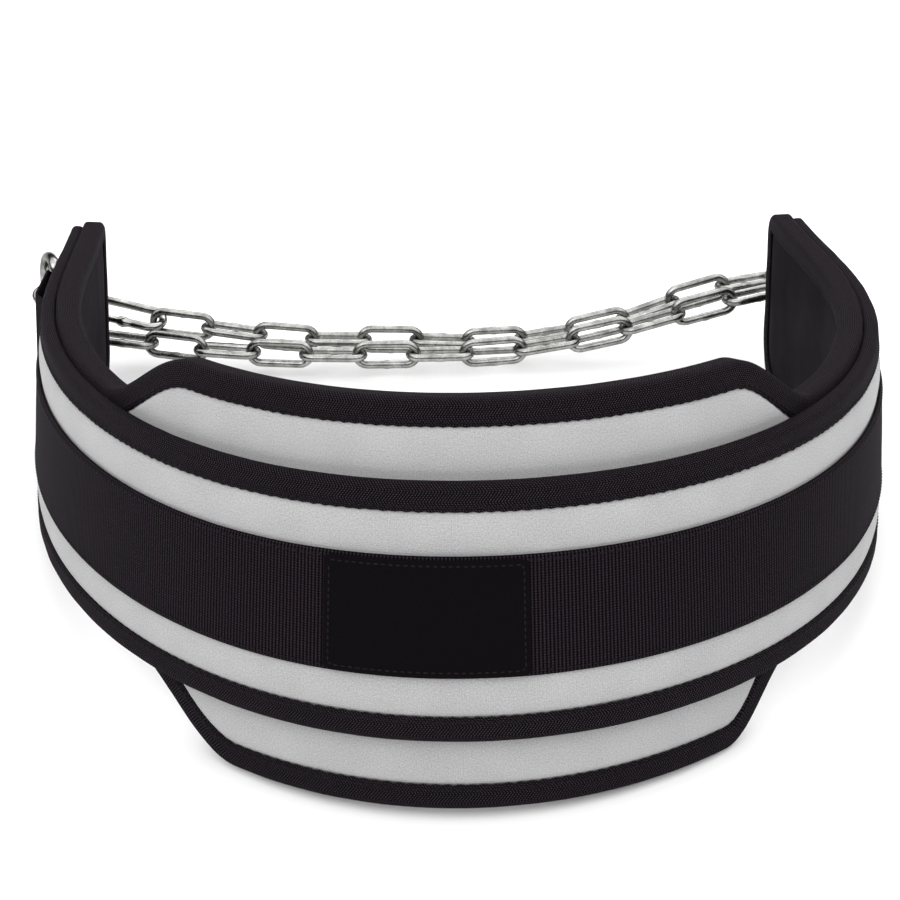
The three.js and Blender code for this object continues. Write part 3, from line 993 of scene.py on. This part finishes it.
def aimed(place, forward, face):
    """Frame whose x runs along forward and whose z runs along face."""
    x = forward.normalized()
    z = (face - x * face.dot(x)).normalized()
    y = z.cross(x)
    turn = Matrix((x, y, z)).transposed().to_4x4()
    return Matrix.Translation(place) @ turn


def ring_frame(end, swing):
    """Frame of a ring in the belt's own frame, from the bar in its tab and its swing out from the belt."""
    bend = WaistBend()
    bar_s, bar_n = bar_place()
    bar = bend.flat_to_belt(end * bar_s, bar_n, 0.0)
    bar_top = (bend.flat_to_belt(end * bar_s, bar_n, 0.001) - bar).normalized()
    heading = bend.heading(end * bar_s)
    forward = Vector((math.cos(heading), math.sin(heading), 0.0)) * end
    forward = (forward - bar_top * forward.dot(bar_top)).normalized()
    forward = Matrix.Rotation(math.radians(-end * swing), 3, bar_top) @ forward
    return aimed(bar, forward, -forward.cross(bar_top))


# Each ring's end of the belt, and its swing out from the belt in degrees
RINGS = {"left": (-1, 16.0), "right": (1, 8.0)}

# How the clasp hangs from the left ring
CLASP_DROP = 0.006
CLASP_FORWARD = Vector((1.0, -0.02, -0.25))
CLASP_TILT = math.radians(15.0)


def rest_matrix():
    return Matrix.Translation(REST_PLACE) @ Matrix.Rotation(REST_TILT, 4, "X")


class BELT_OT_rings(bpy.types.Operator):
    """Make the two steel rings that stand in the tabs"""

    bl_idname = "belt.rings"
    bl_label = "Rings"

    def execute(self, context):
        size = sizes()
        for name, (end, swing) in RINGS.items():
            shell = wire_loop(ring_points(), size.ring_wire, size.wire_sides + 2)
            bmesh.ops.transform(shell, matrix=rest_matrix() @ ring_frame(end, swing), verts=shell.verts[:])
            make_piece("ring_" + name, shell, [metal("bright_steel")], ["d_ring_" + name])
        return {"FINISHED"}


def clasp_frame():
    size = sizes()
    hold = ring_frame(*RINGS["left"]) @ Vector((size.ring_depth, 0.0, 0.0))
    hold.z -= CLASP_DROP
    forward = CLASP_FORWARD.normalized()
    seat = size.ring_wire / 2 + size.clasp_wire / 2 + 0.0006
    reach = size.clasp_length / 2 - size.clasp_wire / 2
    centre = hold + forward * (reach - seat)
    face = Matrix.Rotation(CLASP_TILT, 3, forward) @ UP
    return aimed(centre, forward, face)


class BELT_OT_clasp(bpy.types.Operator):
    """Make the spring clasp, with its gate, hinge pin and nose"""

    bl_idname = "belt.clasp"
    bl_label = "Clasp"

    def execute(self, context):
        size = sizes()
        wire = size.clasp_wire
        inner = size.clasp_length - 2 * wire
        width = size.clasp_width - 2 * wire
        points = oval_points(inner, width, wire, 16, 24)
        radius = (width + wire) / 2
        reach = (inner - width) / 2

        def swell(k):
            place = points[k]
            gate = place.y < -radius * 0.98
            nose = abs(place.x - reach * 0.55)
            hinge = abs(place.x + reach * 0.75)
            if gate and nose < 0.0035:
                return 1.28
            if gate and hinge < 0.0035:
                return 1.22
            return 0.84 if gate and -reach * 0.75 < place.x < reach * 0.55 else 1.0

        shell = wire_loop(points, wire, size.wire_sides, swell)
        for x in (-reach * 0.75, reach * 0.55):
            pin = Matrix.Translation((x, -radius, 0.0))
            bmesh.ops.create_cone(shell, cap_ends=True, segments=12, radius1=0.0012, radius2=0.0012,
                                  depth=wire * 1.45, matrix=pin)
        bmesh.ops.transform(shell, matrix=rest_matrix() @ clasp_frame(), verts=shell.verts[:])
        make_piece("spring_clasp", shell, [metal("bright_steel")], ["clasp"])
        return {"FINISHED"}


def link_frame(node):
    """Frame of a link, from the spread of its solid."""
    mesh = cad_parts[node].data
    spots = np.array([corner.co[:] for corner in mesh.vertices])
    centre = (spots.min(axis=0) + spots.max(axis=0)) / 2
    _, axes = np.linalg.eigh(np.cov((spots - spots.mean(axis=0)).T))
    forward = Vector(axes[:, 2])
    face = Vector(axes[:, 0])
    if forward.x < 0:
        forward.negate()
    if face.z + face.y * 0.5 < 0:
        face.negate()
    return aimed(Vector(centre), forward, face)


class BELT_OT_chain(bpy.types.Operator):
    """Make the welded links of the chain"""

    bl_idname = "belt.chain"
    bl_label = "Chain"

    def execute(self, context):
        size = sizes()
        points = oval_points(size.link_inner_length, size.link_inner_width, size.link_wire, 10, 8)
        radius = (size.link_inner_width + size.link_wire) / 2
        names = sorted(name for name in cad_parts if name.startswith("chain_link"))
        for k, node in enumerate(names):
            welded = 1 if k % 3 else -1

            def swell(j):
                place = points[j]
                at_weld = place.y * welded > radius * 0.9 and abs(place.x) < 0.001
                return 1.14 if at_weld else 1.0

            shell = wire_loop(points, size.link_wire, 12, swell)
            bmesh.ops.transform(shell, matrix=link_frame(node), verts=shell.verts[:])
            make_piece("welded_" + node[6:], shell, [metal("zinc_plating")], [node])
        return {"FINISHED"}


# Stitching

def add_stitches(shell, spots, pitch, thick=0.00045):
    """Short threads laid along a run of places with their outward directions."""
    thread = bmesh.new()
    bmesh.ops.create_uvsphere(thread, u_segments=6, v_segments=4, radius=1.0)
    thread.verts.index_update()
    unit = [corner.co.copy() for corner in thread.verts]
    skin = [[corner.index for corner in face.verts] for face in thread.faces]
    thread.free()
    for (place, out), (after, _) in zip(spots, spots[1:]):
        along = after - place
        if along.length > pitch * 2.5 or along.length < pitch * 0.2:
            continue
        size = Matrix.Diagonal((along.length * 0.40, thick, thick * 0.8, 1.0))
        turn = aimed((place + after) / 2, along, out) @ size
        corners = [shell.verts.new(turn @ spot) for spot in unit]
        for face in skin:
            shell.faces.new([corners[k] for k in face])


def flat_run(bend, line, pitch, n):
    """Places one stitch apart along a flat line of (s, z) points, over the cloth by n."""
    spots = []
    left = 0.0
    for (s0, z0), (s1, z1) in zip(line, line[1:]):
        span = math.hypot(s1 - s0, z1 - z0)
        while left < span:
            t = left / span
            s = s0 + (s1 - s0) * t
            z = z0 + (z1 - z0) * t
            place = bend.place(s, n, z)
            above = bend.place(s, n + math.copysign(0.001, n + 0.004), z)
            spots.append((place, (above - place).normalized()))
            left += pitch
        left -= span
    return spots


class BELT_OT_stitching(bpy.types.Operator):
    """Make the rows of stitches on the bindings, the webbing, the patch and the tabs"""

    bl_idname = "belt.stitching"
    bl_label = "Stitching"

    def row(self, name, slot, runs):
        shell = bmesh.new()
        for spots in runs:
            add_stitches(shell, spots, sizes().stitch_pitch)
        make_piece(name, shell, [cloth("sewing_thread")])

    def execute(self, context):
        size = sizes()
        bend = WaistBend()
        pitch = size.stitch_pitch
        seam = size.tape_width - 0.0019
        front = -size.band_thickness - size.gap
        back = front - size.pad_thickness
        proud = 0.00045
        for name, height, face in (("band_seam", band_height, proud), ("pad_seam", pad_height, front + proud),
                                   ("lining_seam", pad_height, back - proud)):
            line = [rule(seam) for rule in edge_outline(height)]
            line.append(line[0])
            spots = flat_run(bend, line, pitch, face)
            if name == "lining_seam":
                spots = [(place, -out) for place, out in spots]
            self.row(name, "binding_tape", [spots])
        over = size.gap + size.webbing_thickness
        end = size.half_length - size.tape_width - 0.004
        half = size.webbing_width / 2 - 0.0022
        self.row("webbing_seam", "webbing", [
            flat_run(bend, [(-end, half), (end, half)], pitch, over),
            flat_run(bend, [(-end, -half), (end, -half)], pitch, over)])
        top = 2 * size.gap + size.webbing_thickness + size.label_thickness - 0.0001
        wide = size.label_width / 2 - 0.0022
        tall = size.label_height / 2 - 0.0022
        mid = size.label_centre
        box = [(mid - wide, tall), (mid + wide, tall), (mid + wide, -tall), (mid - wide, -tall),
               (mid - wide, tall)]
        self.row("patch_seam", "label_cloth", [flat_run(bend, box, pitch * 0.8, top)])
        bar_s, _ = bar_place()
        start = bar_s - size.tab_length
        runs = []
        for side in (-1, 1):
            near = start + 0.003
            far = start + size.tab_length * 0.14
            high = size.webbing_width / 2 - 0.004
            n = 3 * size.gap + 2.45 * size.webbing_thickness
            frame_line = [(side * near, high), (side * far, high), (side * far, -high), (side * near, -high),
                          (side * near, high)]
            runs.append(flat_run(bend, frame_line, pitch, n))
        self.row("tab_seam", "webbing", runs)
        return {"FINISHED"}


# Stage

class BELT_OT_stage(bpy.types.Operator):
    """Make the floor, the soft lights and the camera"""

    bl_idname = "belt.stage"
    bl_label = "Stage"

    def execute(self, context):
        self.floor()
        self.sky(context)
        self.lamp("key_light", (-1.3, -1.5, 2.1), 1.6, 16.0)
        self.lamp("fill_light", (1.8, -0.9, 1.5), 1.8, 6.0)
        self.lamp("back_light", (0.2, 1.9, 1.8), 1.6, 12.0)
        self.camera(context)
        context.scene.view_settings.view_transform = "Standard"
        return {"FINISHED"}

    def floor(self):
        ground = bmesh.new()
        bmesh.ops.create_grid(ground, x_segments=2, y_segments=2, size=6.0)
        mesh = bpy.data.meshes.new("floor")
        ground.to_mesh(mesh)
        ground.free()
        mesh.materials.append(floor_material())
        floor = bpy.data.objects.new("floor", mesh)
        bpy.context.scene.collection.objects.link(floor)

    def sky(self, context):
        world = bpy.data.worlds.new("studio")
        world.use_nodes = True
        nodes = world.node_tree.nodes
        links = world.node_tree.links
        back = nodes["Background"]
        back.inputs["Strength"].default_value = 1.9
        place = nodes.new("ShaderNodeTexCoord")
        split = nodes.new("ShaderNodeSeparateXYZ")
        ramp = nodes.new("ShaderNodeValToRGB")
        links.new(place.outputs["Generated"], split.inputs[0])
        links.new(split.outputs["Z"], ramp.inputs[0])
        stops = ramp.color_ramp.elements
        stops[0].position = 0.0
        stops[0].color = (0.02, 0.02, 0.02, 1.0)
        stops[1].position = 1.0
        stops[1].color = (1.0, 1.0, 1.0, 1.0)
        stops.new(0.25).color = (0.06, 0.06, 0.06, 1.0)
        stops.new(0.62).color = (0.95, 0.95, 0.95, 1.0)
        links.new(ramp.outputs[0], back.inputs["Color"])
        context.scene.world = world

    def lamp(self, name, place, size, power):
        data = bpy.data.lights.new(name, "AREA")
        data.shape = "SQUARE"
        data.size = size
        data.energy = power
        light = bpy.data.objects.new(name, data)
        bpy.context.scene.collection.objects.link(light)
        light.location = place
        aim = Vector((0.0, 0.0, 0.08)) - Vector(place)
        light.rotation_euler = aim.to_track_quat("-Z", "Y").to_euler()

    def camera(self, context):
        """The photograph's camera: set against the belt's own frame, then turned with it."""
        elevation = math.radians(24.83)
        roll = math.radians(-0.66)
        distance = 0.6608
        sensor = 36.0
        focal_over_width = 1.5
        across = Vector((1.0, 0.0, 0.0))
        over = Vector((0.0, math.sin(elevation), math.cos(elevation)))
        ahead = Vector((0.0, math.cos(elevation), -math.sin(elevation)))
        right = turned(across * math.cos(roll) + over * math.sin(roll))
        top = turned(over * math.cos(roll) - across * math.sin(roll))
        data = bpy.data.cameras.new("camera")
        data.sensor_width = sensor
        data.lens = sensor * focal_over_width
        data.clip_start = 0.01
        camera = bpy.data.objects.new("camera", data)
        context.scene.collection.objects.link(camera)
        turn = Matrix((right, top, -turned(ahead))).transposed()
        camera.matrix_world = Matrix.Translation(to_rest(-ahead * distance)) @ turn.to_4x4()
        context.scene.camera = camera


OPERATORS = (BELT_OT_stage, BELT_OT_pad, BELT_OT_band, BELT_OT_binding, BELT_OT_webbing, BELT_OT_patch,
             BELT_OT_tabs, BELT_OT_rings, BELT_OT_clasp, BELT_OT_chain, BELT_OT_stitching)


class BELT_PT_panel(bpy.types.Panel):
    """Sizes, colours and pieces of the dip belt"""

    bl_idname = "BELT_PT_panel"
    bl_label = "Dip Belt"
    bl_space_type = "VIEW_3D"
    bl_region_type = "UI"
    bl_category = "Dip Belt"

    def draw(self, context):
        layout = self.layout
        for group in (context.scene.belt_sizes, context.scene.belt_colours):
            box = layout.box()
            for name in group.__annotations__:
                box.prop(group, name)
        for operator in OPERATORS:
            layout.operator(operator.bl_idname)


CLASSES = (BeltSizes, BeltColours, *OPERATORS, BELT_PT_panel)


def register():
    for item in CLASSES:
        bpy.utils.register_class(item)
    bpy.types.Scene.belt_sizes = PointerProperty(type=BeltSizes)
    bpy.types.Scene.belt_colours = PointerProperty(type=BeltColours)


def unregister():
    del bpy.types.Scene.belt_colours
    del bpy.types.Scene.belt_sizes
    for item in reversed(CLASSES):
        bpy.utils.unregister_class(item)


def main():
    register()
    for operator in OPERATORS:
        group, name = operator.bl_idname.split(".")
        getattr(getattr(bpy.ops, group), name)()


if __name__ == "__main__":
    main()
